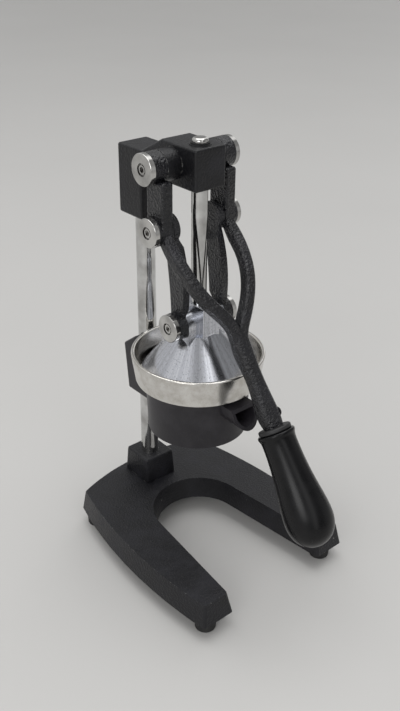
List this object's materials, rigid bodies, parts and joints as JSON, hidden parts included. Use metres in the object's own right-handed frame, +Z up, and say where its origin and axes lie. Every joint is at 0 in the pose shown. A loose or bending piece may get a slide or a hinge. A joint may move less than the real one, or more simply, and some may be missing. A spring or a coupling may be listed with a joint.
{
  "type": "lever citrus press",
  "caption": "Free-standing hand lever citrus press: horseshoe base, upright column, juice pot with strainer cup, and a bell pushed down by a forked lever and two links.",
  "frame": {"origin": "middle of the bounding box on the table surface, under the feet", "axes": "+Z up along the column, -Y towards the handle and spout, +X to the right seen from the handle; the press is mirrored about the plane x = 0"},
  "size_m": [0.19, 0.278, 0.4106],
  "materials": {
    "black_casting": "black hammertone paint",
    "chrome": "polished",
    "steel": "plain steel",
    "stainless": "satin stainless",
    "aluminium": "bright cast and turned",
    "black_grip": "semi-gloss moulded",
    "black_nylon": "matt",
    "rubber": "matt"
  },
  "bodies": {
    "stand": {"base_casting": "black_casting", "rubber_feet": "rubber", "foot_screws": "steel", "column": "chrome", "column_washer": "steel", "column_bolt": "steel", "socket_set_screw": "steel", "head_casting": "black_casting", "head_set_screws": "steel", "shaft_bush": "black_nylon", "top_pivot_bolts": "chrome", "thrust_washers": "steel", "pot_casting": "black_casting", "bracket_set_screw": "steel", "juice_ring": "stainless", "strainer": "stainless", "reamer": "aluminium"},
    "lever": {"lever_casting": "black_casting", "link_pivot_bolts": "chrome", "stem_screw": "steel", "handle_rod": "steel", "grip_collar": "black_nylon", "grip": "black_grip"},
    "press": {"press_bell": "aluminium", "press_shaft": "chrome", "shaft_pin": "steel", "stop_washer": "rubber", "shaft_cap": "chrome", "bell_pivot_bolts": "chrome"},
    "left_link": {"left_link": "black_casting", "left_link_bush": "steel"},
    "right_link": {"right_link": "black_casting", "right_link_bush": "steel"}
  },
  "joints": [
    {"name": "lever_hinge", "type": "hinge", "parent": "stand", "child": "lever", "pos_m": [0, 0.04808, 0.3881], "axis": [-1, 0, 0], "range_deg": [0, 100]},
    {"name": "press_slide", "type": "slide", "parent": "stand", "child": "press", "axis": [0, 0, 1], "range_m": [0, 0.0729]},
    {"name": "left_link_hinge", "type": "hinge", "parent": "press", "child": "left_link", "pos_m": [-0.0248, 0.03158, 0.2481], "axis": [-1, 0, 0], "range_deg": [-30.5, 0]},
    {"name": "right_link_hinge", "type": "hinge", "parent": "press", "child": "right_link", "pos_m": [0.0248, 0.03158, 0.2481], "axis": [-1, 0, 0], "range_deg": [-30.5, 0]}
  ],
  "couplings": [
    {"joint": "press_slide", "follows": "lever_hinge", "m_per_rad": 0.041452},
    {"joint": "left_link_hinge", "follows": "lever_hinge", "ratio": -0.29996},
    {"joint": "right_link_hinge", "follows": "lever_hinge", "ratio": -0.29996}
  ]
}
